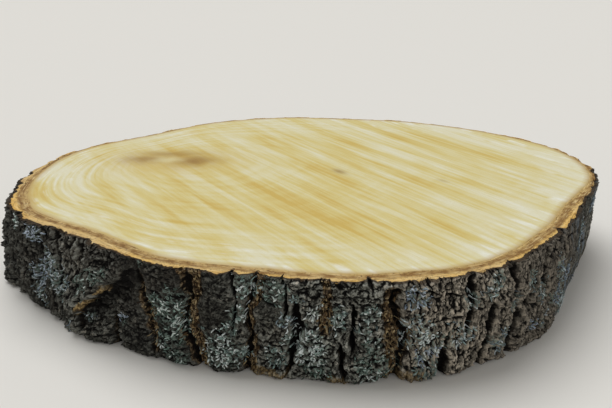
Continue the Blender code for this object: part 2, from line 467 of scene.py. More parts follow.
def torn_ledge(points, place, height):
    """The torn edge at the left of the front: relief, where its edge shows tan inner bark, and where the
    hollow below it lies, which the bark's colour darkens as painted shadow.

    A straight tear climbs from (549, 13) to (579, 41). Above it the bark stands proud, and below it there
    is a hollow.
    """
    across = ((place[:, None] - 549) * 28 - (height[None, :] - 13) * 30) / 41
    along = ((place[:, None] - 549) * 30 + (height[None, :] - 13) * 28) / 41
    across = across + 1.6 * noise(points, 5, 71) + 0.7 * noise(points, 1.6, 72)
    window = ease(-6, 2, along) * (1 - ease(36, 44, along))
    below = ease(0, 1.2, across) * (1 - ease(6, 13, across))
    hollow = -(3.2 + 1.8 * noise(points, 6, 73)) * below
    lip = 1.2 * np.exp(-((np.minimum(across, 0) / 4) ** 2)) * (1 - ease(-0.2, 0.8, across))
    broken = ease(-0.45, -0.1, noise(points, 6, 74))
    tan = (1 - ease(0.4, 1.0, np.abs(across - 0.2))) * (1 - ease(19, 24, along)) * broken
    return window * (hollow + lip), window * tan, window * ease(0.6, 2.2, across) * (1 - ease(5, 10, across))


def bump_at(place, height, where, level, radius):
    """A round bump: 1 at its top, falling off as a bell curve."""
    gap = wrapped(place[:, None] - where) ** 2 + (height[None, :] - level) ** 2
    return np.exp(-gap / radius**2)


def foot_layers(points, place, height):
    """Tan layers that show in three stretches of the torn bottom edge: a mask from 0 to 1."""
    mask = np.zeros((len(place), len(height)))
    for where, spread, top in ((637, 9, 3.4), (665, 5, 2.6), (694, 6, 4.2), (300, 8, 4), (120, 10, 4)):
        across = 1 - ease(spread * 0.6, spread, np.abs(wrapped(place[:, None] - where)))
        below = 1 - ease(-0.3, 0.3, height[None, :] - top - 1.6 * noise(points, 4, 81))
        mask = np.maximum(mask, across * below)
    return mask


def stretch(place, start, full, waning, end):
    """1 along a stretch of the rim, easing to 0 on either side of it."""
    return (ease(start, full, place) * (1 - ease(waning, end, place)))[:, None]


Zones = collections.namedtuple("Zones", "smoother upright calm lumpy")


def bark_zones(bare, place, height):
    """Where the bark is smoother, where its scales stand upright, where it is calm and where lumpy, 0 to 1.

    On the front these are stretches of the rim and round spots. Round the back, noise picks them.
    """
    flat = np.ones(bare.shape[:2])
    smoother = ease(770, 800, place)[:, None] * flat
    upright = np.maximum(stretch(place, 676, 698, 860, 870), 0.8 * stretch(place, 470, 490, 545, 555))
    upright = np.maximum(upright, ease(-0.1, 0.3, noise(bare, 60, 13)) * (1 - ease(440, 480, place))[:, None])
    calm = stretch(place, 566, 574, 640, 652) * (0.4 + 0.6 * ease(14, 26, height))
    calm = calm + 0.8 * noise(bare, 15, 26) + 0.9 * bump_at(place, height, 699, 31, 6)
    calm = calm + 0.8 * bump_at(place, height, 649, 27, 6)
    calm = np.clip(np.maximum(calm, 0.9 * smoother), 0, 1)
    lumpy = stretch(place, 440, 480, 556, 572) * flat
    lumpy = np.maximum(lumpy, ease(0.0, 0.3, noise(bare, 50, 27)) * (1 - ease(430, 470, place))[:, None])
    return Zones(smoother, upright, calm, lumpy)


def plate_relief(bare, place, height, zones, block_height):
    """The plates' relief, and the number of each small chip on them.

    Broad lumps carry flakes, angular chips in two sizes, rounded scales, and scales that lie or stand. Calm
    bark has less of each.
    """
    upright, calm = zones.upright, zones.calm
    stray = strayed(strayed(bare, 9, 3.0, 31), 2.4, 0.9, 32)
    lumps = np.abs(noise(stray, (5, 5, 11), 33)) + 0.4 * np.abs(noise(stray, (2.2, 2.2, 5), 34))
    hairline = 1 - ease(0.0, 0.16, np.abs(noise(stray, (9, 9, 0.8), 35)))
    lying = scales(stray, (7, 7, 1.5), 14)
    standing = scales(stray, (1.5, 1.5, 7), 15)
    across = place[:, None] + 1.3 * noise(bare, 5, 36) + 0.5 * noise(bare, 1.4, 37)
    above = height[None, :] + 1.0 * noise(bare, 5, 38) + 0.5 * noise(bare, 1.4, 39)
    stands = upright > 0.5 + 0.3 * noise(bare, 12, 40)
    large = np.where(stands, cracked(across, above, 2.6, 7.5, 6), cracked(across, above, 4.6, 2.6, 7))
    small = np.where(stands, cracked(across, above, 1.1, 3.2, 8), cracked(across, above, 1.9, 1.3, 11))
    number, _ = chips(across, above, 1.5, 1.3, 12)
    rounded = np.where(stands, scales(stray, (1.7, 1.7, 6), 30), scales(stray, (3.2, 3.2, 2.6), 29))
    body = 0.3 + 1.2 * noise(bare, 21, 17) + 0.5 * noise(bare, 9, 18) + block_height
    body = body + 0.5 * (1 - 0.8 * calm) * flake(stray)
    body = body + (1.3 - 1.0 * calm) * large + (0.62 - 0.4 * calm) * small
    body = body + 2.6 * zones.lumpy * lumps - 0.4 * calm * hairline
    body = body + 0.5 * (1 - calm) * rounded - 2.8 * np.exp(-((wrapped(place - 862) / 34) ** 2))[:, None]
    body = body + (0.6 - 0.4 * calm) * (lying * (1 - upright) + standing * upright)
    return body + (0.42 - 0.25 * calm) * noise(bare, 1.2, 19), number


def bark_edges(relief, rim_spot, top_wood, foot_wood):
    """How far in from the outline the outer bark ends on the sawn top and on the foot: a wavering crust."""
    crust = np.clip(0.9 + 1.0 * noise(rim_spot, 16, 23) + 0.4 * noise(rim_spot, 3, 24), 0.3, 2.6)
    reach = round(2.0 / BARK_STEP)
    even = sum(np.roll(-relief[:, -1], step) for step in range(-reach, reach + 1)) / (2 * reach + 1)
    rim_edge = np.clip(np.maximum(even + crust, -relief[:, -1] + 0.3), -0.5, top_wood - 1.2)
    return rim_edge, np.clip(-relief[:, 2] + crust, -0.5, foot_wood - 1.2)


Bark = collections.namedtuple("Bark", "place height normal wall relief fields rim_edge foot_edge")


@functools.cache
def grow_bark(relief_scale, depth_scale):
    """The outer bark over the whole wall: a grid of points by place and height, and masks for its colours.

    The relief is that of the plates, less the cracks and the fissures, with the ledge, the torn foot and
    loose crumbs. Chips are missing along the sawn rim.
    """
    place = np.arange(COLUMNS) * GIRTH / COLUMNS
    height = np.linspace(0, THICKNESS, round(THICKNESS / BARK_STEP) + 1)
    bare, normal = stem_surface(place[:, None], height[None, :])
    jag = 0.7 * noise(bare, 2.6, 11) + 0.45 * noise(bare, 1.2, 12)
    fissures = grow_fissures()
    depth, shoulder, rust = cut_fissures(fissures, place, height, jag)
    plate, along = number_plates(fissures, place, height)
    crack, block = crack_plates(bare, plate, along, height)
    block_height = np.random.default_rng(9).uniform(-0.45, 0.45, block.max() + 1)[block]
    block_tone = np.random.default_rng(10).uniform(0, 1, block.max() + 1)[block]
    zones = bark_zones(bare, place, height)
    body, chip_number = plate_relief(bare, place, height, zones, block_height)
    body = body - 1.3 * np.exp(-shoulder / 1.8) - crack * (1 - 0.5 * zones.smoother)
    body = body + 3.6 * bump_at(place, height, 518, 40.5, 4.5) + 2.0 * bump_at(place, height, 503, 41, 4)
    pit = bump_at(place, height, 519, 34.5, 3.6)
    ledge, tan, hollow = torn_ledge(bare, place, height)
    layers = foot_layers(bare, place, height)
    body = body - 2.6 * pit
    body = body + ledge + layers * (0.6 + 0.3 * noise(bare, (6, 6, 1), 82))
    crumbs = 1.3 * noise(bare, (1.5, 1.5, 1.9), 16) + 0.5 * noise(bare, 0.9, 28)
    relief = relief_scale * body - depth_scale * depth * (1 - 0.35 * zones.smoother) + rust * crumbs
    relief = relief - 0.9 * np.exp(-height / 0.7) * (1 + noise(bare, 3, 20))
    top_wood, foot_wood = wood_edge(place, TOP_WAVER_SEED), wood_edge(place, FOOT_WAVER_SEED)
    free = 9 * (1 - ease(THICKNESS - 6, THICKNESS - 1, height))
    relief = np.maximum(relief, 1.4 - top_wood[:, None] - free)
    relief = np.maximum(relief, 1.4 - foot_wood[:, None] - 9 * ease(0.5, 4, height))
    relief = np.clip(relief, -6.2, 6.0)
    relief = relief + 0.6 * zones.smoother * (blurred(relief, round(0.7 / BARK_STEP)) - relief)
    rim_spot = bare[:, -1]
    missing = 1.3 * ease(0.15, 0.6, noise(rim_spot, 5, 21)) + 0.3 * ease(0, 0.5, noise(rim_spot, 1.4, 22))
    missing = missing + 1.5 * ease(-60, 50, rim_spot[:, 1])
    wall = bare.copy()
    wall[..., :2] += normal * relief[..., None]
    wall[..., 2] -= missing[:, None] * ease(THICKNESS - 4, THICKNESS, height)[None, :]
    fields = {
        "depth": depth,
        "rust": np.clip(rust, 0, 1),
        "tone": 0.6 * block_tone + 0.4 * (0.5 + 0.5 * noise(bare, 14, 25)),
        "warm": np.broadcast_to(stretch(place, 676, 698, 785, 815), depth.shape),
        "right": np.clip(zones.upright, 0, 1),
        "chip": chip_number,
        "shade": np.interp(place, *zip(*BARK_SHADES), period=GIRTH)[:, None] * np.ones_like(depth),
        "tan": np.clip(np.maximum(tan, 0.5 * layers), 0, 1),
        # Painted shadow: the hollow under the torn ledge and the pit below the rim, darkened in the colour.
        "hollow": np.maximum(hollow, pit),
        # Relief against its local average: above 0 on the ridges, which the colour makes pale as wear and
        # painted highlight, and below 0 in the pits, which it paints black as painted shade.
        "ridge_wear_and_pit_shade": np.clip((relief - blurred(relief, round(0.9 / BARK_STEP))) / 0.34, -1, 1),
        # Painted shade: how far the relief lies below its broad average, which the colour paints black in the
        # creases.
        "crease_shade": np.clip((blurred(relief, round(2.6 / BARK_STEP)) - relief) / 1.1, 0, 1),
        "calm": zones.calm,
        "smooth": zones.smoother,
        "crust": crust_mask(bare, place, height),
    }
    edges = bark_edges(relief, rim_spot, top_wood, foot_wood)
    return Bark(place, height, normal, wall, relief, fields, *edges)


# ---- The lichen's places ----


@functools.cache
def lichen_patches():
    """Every patch: the front's as listed, and the back's by chance."""
    chance = random.Random(PATCH_SEED)
    patches = list(FRONT_PATCHES)
    for _ in range(BACK_PATCHES):
        place = (775 + chance.uniform(0, GIRTH - 300)) % GIRTH
        sizes = (chance.uniform(*limits) for limits in BACK_PATCH_LIMITS)
        patches.append((place, *sizes))
    return patches


def crust_mask(points, place, height):
    """Where thin lichen whitens the bark: a ragged round patch at each patch's place."""
    mask = np.zeros((len(place), len(height)))
    ragged = 0.5 * noise(points, 3.5, 91) + 0.3 * noise(points, 1.3, 92)
    for where, level, radius, *_ in lichen_patches():
        gap = np.hypot(wrapped(place[:, None] - where), height[None, :] - level) / (radius * 1.1)
        mask = np.maximum(mask, 1 - ease(0.55, 1.1, gap + 0.5 * ragged))
    return mask


# ---- Meshes ----


def link_piece(name, points, faces, material, **fields):
    """A mesh object of those points in millimetres, shaded smooth, riding on the slice's body.

    Each field is a number at each point, which the material reads by name.
    """
    mesh = bpy.data.meshes.new(name)
    mesh.from_pydata(np.asarray(points).reshape(-1, 3) * MM, [], faces)
    mesh.shade_smooth()
    mesh.materials.append(material)
    for label, values in fields.items():
        values = np.broadcast_to(values, np.shape(points)[:-1]).astype(np.float32)
        mesh.attributes.new(label, "FLOAT", "POINT").data.foreach_set("value", values.ravel())
    piece = bpy.data.objects.new(name, mesh)
    bpy.context.scene.collection.objects.link(piece)
    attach(piece, "root")
    return piece


def grid_faces(columns, rows, wrap_columns, wrap_rows):
    """Quads between neighbours of a grid whose point number is column * rows + row."""
    across = np.arange(columns if wrap_columns else columns - 1)
    along = np.arange(rows if wrap_rows else rows - 1)
    here, up = np.meshgrid(across, along, indexing="ij")
    after = (here + 1) % columns
    above = (up + 1) % rows
    quads = [here * rows + up, after * rows + up, after * rows + above, here * rows + above]
    return np.stack(quads, axis=-1).reshape(-1, 4).tolist()


# ---- The sawn faces ----


def saw_relief(plan):
    """Height of the saw's marks over a sawn face: noise drawn out along the saw's way, broad and narrow."""
    across, along = saw_axes(plan)
    spots = np.stack([across, along, np.zeros_like(across)], axis=-1)
    return 0.09 * noise(spots, (8, 160, 1), 31) + 0.05 * noise(spots, (2.6, 90, 1), 32) - 0.08


def saw_axes(plan):
    """Distances across and along the saw's marks, which run from far left to near right."""
    angle = settings().wood.saw_angle
    along = plan[..., 0] * math.cos(angle) + plan[..., 1] * math.sin(angle)
    across = -plan[..., 0] * math.sin(angle) + plan[..., 1] * math.cos(angle)
    return across, along


def wood_edge(place, seed):
    """How far in from the rim's outline the wood begins: a wavering line, closer to it round the back."""
    plan, _ = rim_line(angle_at(place))
    spots = np.concatenate([plan, np.zeros((len(plan), 1))], axis=-1)
    wavering = WOOD_EDGE + 0.9 * noise(spots, 17, seed) + 0.3 * noise(spots, 4, seed + 1)
    return wavering * (1 - 0.64 * ease(-40, 70, plan[:, 1]))


def growth_rings(plan):
    """How far each point is from the heart towards the rim, 0 to 1, so that rings follow the rim."""
    heart = np.array(settings().wood.heart_place) / MM
    angles = np.linspace(0, math.tau, 1441)
    line = around_axis(angles, closed_curve(RIM_RADII, angles)) - heart
    turns = np.arctan2(line[:, 1], line[:, 0]) % math.tau
    order = np.argsort(turns)
    gap = plan - heart
    turn = np.arctan2(gap[..., 1], gap[..., 0]) % math.tau
    reach = np.interp(turn, turns[order], np.linalg.norm(line, axis=1)[order], period=math.tau)
    return np.linalg.norm(gap, axis=-1) / reach


def heart_marks(plan):
    """The heart's ochre halo, its brown arms, its pale pith, and small dark marks, each a mask from 0 to 1.

    An arm is a bell curve over an ellipse, its edges ragged with noise. There are two, and a fainter third
    arches behind both.
    """
    spots = np.concatenate([plan, np.zeros((*plan.shape[:-1], 1))], axis=-1)
    gap = plan - np.array(settings().wood.heart_place) / MM
    ragged = np.stack([noise(spots, 8, 41), noise(spots, 8, 42)], axis=-1)
    gap = gap + 2.4 * ragged + 1.2 * np.stack([noise(spots, 3, 43), noise(spots, 3, 44)], axis=-1)
    halo = np.exp(-((gap[..., 0] / 31) ** 2) - ((gap[..., 1] + 1) / 22) ** 2)
    ring = np.zeros_like(halo)
    for x, y, long, wide, strength in HEART_ARMS:
        arm = np.exp(-(((gap[..., 0] - x) / long) ** 2) - ((gap[..., 1] - y) / wide) ** 2)
        ring = np.maximum(ring, strength * arm)
    pith = np.exp(-(((gap[..., 0] + 3) / 8) ** 2) - ((gap[..., 1] - 1) / 5) ** 2)
    marks = np.zeros_like(halo)
    for x, y, long, wide, strength in DARK_MARKS:
        across, along = saw_axes(plan - np.array((x, y)))
        marks = np.maximum(marks, strength * np.exp(-((along / long) ** 2) - (across / wide) ** 2))
    return halo, ring, pith, marks


class WOODSLICE_OT_sawn_wood(bpy.types.Operator):
    """Adds the sawn wood: both sawn faces, inside the bark"""

    bl_idname = "wood_slice.sawn_wood"
    bl_label = "Sawn Wood"

    def execute(self, context):
        place = np.arange(COLUMNS // COLUMNS_PER_SPOKE) * GIRTH / (COLUMNS // COLUMNS_PER_SPOKE)
        angle = angle_at(place)
        rim, normal = rim_line(angle)
        foot = around_axis(angle, foot_radius(angle))
        lip = 0.6
        top_edge = rim - normal * wood_edge(place, TOP_WAVER_SEED)[:, None]
        foot_edge = foot - normal * wood_edge(place, FOOT_WAVER_SEED)[:, None]
        centre = STEM_AXIS
        top_share = np.linspace(0, 1, 91)[1:]
        foot_share = np.linspace(0, 1, 24)[1:]
        rows = []
        for share in foot_share:
            plan = centre + (foot_edge - centre) * share
            rows.append((plan, -saw_relief(plan) * ease(0, 0.06, 1 - share), (1 - share)))
        rows.append((foot_edge + normal * lip, np.full(len(place), 0.9), 0))
        rows.append((foot - normal * HIDDEN_WALL, np.full(len(place), 2.4), 0))
        rows.append((rim - normal * HIDDEN_WALL, np.full(len(place), THICKNESS - 2.4), 0))
        rows.append((top_edge + normal * lip, np.full(len(place), THICKNESS - 0.9), 0))
        for share in top_share[::-1]:
            plan = centre + (top_edge - centre) * share
            rows.append((plan, THICKNESS + saw_relief(plan), (1 - share)))
        plans = np.stack([row[0] for row in rows], axis=1)
        heights = np.stack([row[1] for row in rows], axis=1)
        spans = np.linalg.norm(top_edge - centre, axis=1)
        inward = np.stack([spans * row[2] for row in rows], axis=1)
        poles = np.array([[*centre, 0.0], [*centre, THICKNESS]])
        poles[:, 2] += np.array((-1, 1)) * saw_relief(poles[:, :2])
        points = np.concatenate([plans, heights[..., None]], axis=-1).reshape(-1, 3)
        columns, count = plans.shape[:2]
        faces = grid_faces(columns, count, True, False)
        here = np.arange(columns)
        after = (here + 1) % columns
        bottom, top = len(points), len(points) + 1
        faces += np.stack([after * count, here * count, np.full(columns, bottom)], axis=1).tolist()
        ends = [here * count + count - 1, after * count + count - 1, np.full(columns, top)]
        faces += np.stack(ends, axis=1).tolist()
        points = np.concatenate([points, poles])
        plan = points[:, :2]
        fields = dict(zip(("halo", "heart", "pith", "mark"), heart_marks(plan)))
        fields["inward"] = np.concatenate([inward.ravel(), [spans.mean()] * 2])
        fields["ring"] = growth_rings(plan)
        piece = link_piece("sawn_wood", points, faces, end_grain_material(), **fields)
        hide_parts("wood_slice")
        return {"FINISHED"}


def inner_bark_row(base, normal, inward, height, band):
    """A row of the inner bark: points that far in from the base line, their band, and their streaks."""
    plan = base - normal * inward[:, None]
    layers = np.column_stack([plan * 0.13, inward / 0.62])
    streak = 0.7 * noise(layers, 1, 37) + 0.5 * noise(layers * 2.1, 1, 40)
    return np.column_stack([plan, height, band, streak])


def inner_bark_face(base, normal, outer, inner, level, side, shares):
    """Rows of the inner bark's sawn face, from its outer to its inner line. Its side is 1 up or -1 down.

    The face sinks a little in fibrous layers, deepest in a groove near the wood. Its outer edge is ragged.
    """
    rows = []
    for share in shares:
        inward = outer * (1 - share) + inner * share
        plan = base - normal * inward[:, None]
        fibre = 0.22 * noise(np.column_stack([plan * 0.13, inward / 0.62]), 1, 37)
        spots = np.column_stack([plan, np.zeros(len(plan))])
        groove = 0.3 * np.exp(-(((inward - inner + 2.2) / 1.1) ** 2))
        drop = 0.14 + groove * (0.6 + 0.4 * noise(spots, 5, 38))
        ragged = 0.5 * (1 - ease(0, 0.14, share)) * (1 + noise(spots, 1.2, 39))
        rise = (fibre - drop) * (1 - ease(0.9, 1, share)) - ragged + saw_relief(plan) * ease(0.8, 1, share)
        band = (inner - inward) * WOOD_EDGE / inner
        rows.append(inner_bark_row(base, normal, inward, level + side * rise, band))
    return rows


class WOODSLICE_OT_inner_bark(bpy.types.Operator):
    """Adds the inner bark: a brown line round the wood and a golden band outside it, on both sawn faces"""

    bl_idname = "wood_slice.inner_bark"
    bl_label = "Inner Bark"

    def execute(self, context):
        bark = grow_bark_as_set()
        place = bark.place
        rim, normal = rim_line(angle_at(place))
        foot = around_axis(angle_at(place), foot_radius(angle_at(place)))
        top_wood, foot_wood = wood_edge(place, TOP_WAVER_SEED), wood_edge(place, FOOT_WAVER_SEED)
        flat = np.ones(len(place))
        outside = flat * HIDDEN_BAND_OUTSIDE
        top_inside = np.maximum(top_wood + 0.3, HIDDEN_BAND_INSIDE)
        foot_inside = np.maximum(foot_wood + 0.3, HIDDEN_BAND_INSIDE)
        rows = inner_bark_face(foot, normal, bark.foot_edge, foot_wood, 0.0, -1, np.linspace(1, 0, 8))
        rows.append(inner_bark_row(foot, normal, outside, flat * 1.8, flat * 3))
        rows.append(inner_bark_row(rim, normal, outside, flat * (THICKNESS - 1.8), flat * 3))
        rows += inner_bark_face(rim, normal, bark.rim_edge, top_wood, THICKNESS, 1, np.linspace(0, 1, 24))
        rows.append(inner_bark_row(rim, normal, top_inside, flat * (THICKNESS - 1.2), flat * 0))
        rows.append(inner_bark_row(foot, normal, foot_inside, flat * 1.2, flat * 0))
        grid = np.stack(rows, axis=1)
        faces = grid_faces(*grid.shape[:2], True, True)
        shades = {"band": grid[..., 3], "streak": grid[..., 4]}
        piece = link_piece("inner_bark", grid[..., :3], faces, inner_bark_material(), **shades)
        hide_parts("wood_slice")
        return {"FINISHED"}


class WOODSLICE_OT_outer_bark(bpy.types.Operator):
    """Adds the outer bark, in lengths that meet in four fissures"""

    bl_idname = "wood_slice.outer_bark"
    bl_label = "Outer Bark"

    def execute(self, context):
        bark = grow_bark_as_set()
        grid, fields = close_bark(bark)
        loop = grid.shape[1]
        material = outer_bark_material()
        seams = [round(place / GIRTH * COLUMNS) for place in SEAMS]
        for number, first in enumerate(seams):
            last = seams[(number + 1) % len(seams)]
            columns = np.arange(first, last + 1 if last > first else last + 1 + COLUMNS) % COLUMNS
            faces = grid_faces(len(columns), loop, False, True)
            faces.append(list(range(loop)))
            faces.append([(len(columns) - 1) * loop + row for row in reversed(range(loop))])
            own = {name: values[columns] for name, values in fields.items()}
            piece = link_piece(f"outer_bark_{number + 1}", grid[columns], faces, material, **own)
            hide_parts("wood_slice")
        return {"FINISHED"}


def close_bark(bark):
    """The bark's wall with its sawn edges and a hidden inner side: a closed loop of points at each place."""
    rim, normal = rim_line(angle_at(bark.place))
    foot = around_axis(angle_at(bark.place), foot_radius(angle_at(bark.place)))
    top = bark.wall[:, -1]
    grit = np.stack([noise(top + (0, 0, 9 * k), 1.1, 27) for k in range(6)], axis=1)
    foot_shares = np.linspace(1, 0.25, 4)
    rim_shares = (0.12, 0.3, 0.5, 0.7, 0.88, 1.0)
    rows = []
    for share in foot_shares:
        inward = -bark.relief[:, 0] * (1 - share) + (bark.foot_edge + 1.5) * share
        rows.append(np.column_stack([foot - normal * inward[:, None], np.full(len(top), 0.05 + 0.1 * share)]))
    rows.extend(bark.wall[:, row] for row in range(len(bark.height)))
    for step, share in enumerate(rim_shares):
        inward = -bark.relief[:, -1] * (1 - share) + (bark.rim_edge + 1.3) * share
        level = top[:, 2] * (1 - share) + (THICKNESS - 0.25) * share + 0.25 * grit[:, step] * (1 - share)
        rows.append(np.column_stack([rim - normal * inward[:, None], np.minimum(level, THICKNESS - 0.05)]))
    rows.append(np.column_stack([rim - normal * HIDDEN_BARK, np.full(len(top), THICKNESS - 2.5)]))
    rows.append(np.column_stack([foot - normal * HIDDEN_BARK, np.full(len(top), 2.5)]))
    grid = np.stack(rows, axis=1)
    added = ((0, 0), (len(foot_shares), len(rim_shares) + 2))
    fields = {name: np.pad(values, added, mode="edge") for name, values in bark.fields.items()}
    fields["sawn"] = np.pad(np.zeros(bark.relief.shape), added, constant_values=1)
    return grid, fields


# ---- Lobes of lichen, and loose fibres ----


def bark_spot(bark, place, height):
    """The bark's surface at any place and height, blended from the grid, and its normal and tangent there."""
    column = place % GIRTH / GIRTH * COLUMNS
    row = np.clip(height / THICKNESS, 0, 1) * (len(bark.height) - 1)
    left = np.floor(column).astype(int)
    low = np.minimum(np.floor(row).astype(int), len(bark.height) - 2)
    across, up = (column - left)[..., None], (row - low)[..., None]
    left, right = left % COLUMNS, (left + 1) % COLUMNS
    lower = bark.wall[left, low] * (1 - across) + bark.wall[right, low] * across
    upper = bark.wall[left, low + 1] * (1 - across) + bark.wall[right, low + 1] * across
    plan_normal = bark.normal[left, low]
    zero = np.zeros((*plan_normal.shape[:-1], 1))
    normal = np.concatenate([plan_normal, zero], axis=-1)
    tangent = np.concatenate([-plan_normal[..., 1:], plan_normal[..., :1], zero], axis=-1)
    return lower * (1 - up) + upper * up, normal, tangent


def lay_leaves(bark, roots, heading, length, width, lift, thick, curl, around):
    """Small flat leaves laid over the bark: points of shape (leaf, corner of the rim, section), and faces.

    A leaf runs from its root along its heading and rises by lift * t^2. Its outline is width *
    sin(pi * (0.12 + 0.8 t)), its cross-section a flat ellipse whose sides turn up by curl.
    """
    sections = 4
    share = np.linspace(0, 1, sections)
    turn = heading[:, None] + 0.5 * np.sin(7 * heading)[:, None] * share
    place = roots[:, :1] + length[:, None] * share * np.cos(turn)
    height = roots[:, 1:] + length[:, None] * share * np.sin(turn)
    spot, normal, tangent = bark_spot(bark, place, np.clip(height, 0.4, THICKNESS - 0.3))
    up = np.broadcast_to((0.0, 0.0, 1.0), tangent.shape)
    side = np.cos(turn)[..., None] * up - np.sin(turn)[..., None] * tangent
    half = width[:, None] / 2 * np.sin(math.pi * (0.12 + 0.8 * share))
    rise = 0.1 + lift[:, None] * share**2
    corner = math.tau * np.arange(around) / around
    across, through = np.cos(corner)[None, :, None], np.sin(corner)[None, :, None]
    out = across * half[:, None, :]
    high = thick / 2 * through + curl * across**2 * half[:, None, :] + rise[:, None]
    points = spot[:, None] + side[:, None] * out[..., None] + normal[:, None] * high[..., None]
    leaf = np.array(grid_faces(around, sections, True, False))
    offset = np.arange(len(roots)) * around * sections
    faces = (offset[:, None, None] + leaf).reshape(-1, 4).tolist()
    root_cap = np.arange(around) * sections
    tip_cap = root_cap + sections - 1
    faces += (offset[:, None] + root_cap[::-1]).tolist()
    faces += (offset[:, None] + tip_cap).tolist()
    return points, faces


class WOODSLICE_OT_lichen(bpy.types.Operator):
    """Adds the lichen: ragged patches of small leafy lobes that lie over the bark"""

    bl_idname = "wood_slice.lichen"
    bl_label = "Lichen"

    def execute(self, context):
        lichen = settings().lichen
        bark = grow_bark_as_set()
        chance = np.random.default_rng(PATCH_SEED)
        lobes = []
        for where, level, radius, pale, blue in lichen_patches():
            count = int(lichen.density * radius**2)
            bearing = chance.uniform(0, math.tau, count)
            lumpy = 1 + 0.3 * np.sin(3 * bearing + where) + 0.2 * np.sin(5 * bearing + level)
            reach = radius * np.sqrt(chance.uniform(0.0, 1, count)) * lumpy
            edge = reach / radius
            heading = bearing + chance.normal(0, 0.9, count)
            paler = 0.75 * pale - 0.3 * edge**2 + chance.choice((-0.1, 0.5), count, p=(0.62, 0.38))
            paler = np.clip(paler + chance.normal(0, 0.2, count), 0, 1)
            place = where + reach * np.cos(bearing)
            height = level + reach * np.sin(bearing)
            lobes.append(np.column_stack([place, height, heading, paler, np.full(count, blue), edge]))
        lobes = np.concatenate(lobes)
        lobes = lobes[(lobes[:, 1] > 0.8) & (lobes[:, 1] < THICKNESS - 0.8)]
        spots, _, _ = bark_spot(bark, lobes[:, 0], lobes[:, 1])
        ragged = noise(spots, 2.6, 93) + 0.5 * noise(spots, 1.1, 94)
        lobes = lobes[ragged > 0.55 * lobes[:, 5] - 0.35]
        count = len(lobes)
        length = chance.uniform(0.6, 1.5, count) * lichen.lobe_length / MM
        width = chance.uniform(0.7, 1.3, count) * lichen.lobe_width / MM
        lift = chance.uniform(0.1, 0.9, count)
        points, faces = lay_leaves(bark, lobes[:, :2], lobes[:, 2], length, width, lift, 0.2, 0.3, 4)
        fields = {"pale": lobes[:, 3, None, None], "blue": lobes[:, 4, None, None]}
        fields["tip"] = np.linspace(0, 1, points.shape[2])
        piece = link_piece("lichen", points, faces, lichen_material(), **fields)
        return {"FINISHED"}


class WOODSLICE_OT_crumbs(bpy.types.Operator):
    """Adds crumbs and short strands of inner bark in the rusty fissures and along the torn ledge"""

    bl_idname = "wood_slice.crumbs"
    bl_label = "Bark Crumbs"

    def execute(self, context):
        bark = grow_bark_as_set()
        chance = np.random.default_rng(settings().bark.crumb_seed)
        shelf = (bark.fields["rust"] > 0.5) & (bark.fields["depth"] < 2.6)
        likely = np.maximum(bark.fields["rust"] * shelf, 0.5 * bark.fields["tan"])
        weights = (likely**2).ravel() / (likely**2).sum()
        count = settings().bark.crumb_count
        column, row = np.unravel_index(chance.choice(likely.size, count, p=weights), likely.shape)
        roots = np.column_stack([bark.place[column], bark.height[row]])
        roots += chance.uniform(-0.3, 0.3, (count, 2))
        strand = chance.uniform(0, 1, count) < 0.3
        upright = math.pi / 2 * chance.choice((-1, 1), count)
        heading = upright + np.where(strand, 0.3, 0.9) * chance.normal(0, 1, count)
        length = np.where(strand, chance.uniform(1.4, 3.4, count), chance.uniform(0.7, 1.5, count))
        width = np.where(strand, chance.uniform(0.25, 0.4, count), chance.uniform(0.6, 1.0, count))
        lift = chance.uniform(0.0, 0.7, count)
        points, faces = lay_leaves(bark, roots, heading, length, width, lift, 0.45, 0.0, 5)
        tone = chance.uniform(0, 1, count)[:, None, None] ** 1.4
        piece = link_piece("bark_crumbs", points, faces, bark_crumb_material(), tone=tone)
        return {"FINISHED"}


# ---- Materials ----


def add(tree, kind, inputs=None, stops=None, **values):
    """A node of that kind with its settings.

    An input is set to a value, joined to another node's output, or joined to the mesh's field of that name.
    """
    made = tree.nodes.new(kind)
    for name, value in values.items():
        setattr(made, name, value)
    for name, value in (inputs or {}).items():
        if isinstance(value, str):
            value = add(tree, "ShaderNodeAttribute", attribute_name=value).outputs["Fac"]
        if isinstance(value, bpy.types.NodeSocket):
            tree.links.new(value, made.inputs[name])
        else:
            made.inputs[name].default_value = value
    for number, (place, colour) in enumerate(stops or ()):
        elements = made.color_ramp.elements
        stop = elements[number] if number < 2 else elements.new(place)
        stop.position, stop.color = place, colour
    return made


def start_material(name, roughness, specular):
    """A new material with its node tree and Principled shader."""
    material = bpy.data.materials.new(name)
    material.use_nodes = True
    shader = material.node_tree.nodes["Principled BSDF"]
    shader.inputs["Roughness"].default_value = roughness
    shader.inputs["Specular IOR Level"].default_value = specular
    shader.inputs["IOR"].default_value = 1.5
    return material, material.node_tree, shader


def object_coords(tree, size_mm, turn=0.0):
    """Object coordinates turned about Z, then scaled so that one unit is that many millimetres."""
    coords = add(tree, "ShaderNodeTexCoord").outputs["Object"]
    if turn:
        coords = add(tree, "ShaderNodeMapping", {"Vector": coords, "Rotation": (0, 0, turn)}).outputs[0]
    scale = [1 / (size * MM) for size in np.broadcast_to(size_mm, 3)]
    return add(tree, "ShaderNodeMapping", {"Vector": coords, "Scale": scale}).outputs[0]


def speckle(tree, size_mm, detail, turn=0.0, roughness=0.5):
    """Noise of that size in object coordinates."""
    coords = object_coords(tree, size_mm, turn)
    inputs = {"Vector": coords, "Scale": 1.0, "Detail": detail, "Roughness": roughness}
    return add(tree, "ShaderNodeTexNoise", inputs).outputs["Fac"]


def share_of(tree, value, start=0.0, full=1.0, least=0.0, most=1.0, *cuts):
    """From least, where the value is at its start, to most, where it is full, and then times every cut."""
    inputs = {"Value": value, "From Min": start, "From Max": full, "To Min": least, "To Max": most}
    share = add(tree, "ShaderNodeMapRange", inputs).outputs[0]
    for cut in cuts:
        share = add(tree, "ShaderNodeMath", {0: share, 1: cut}, operation="MULTIPLY").outputs[0]
    return share


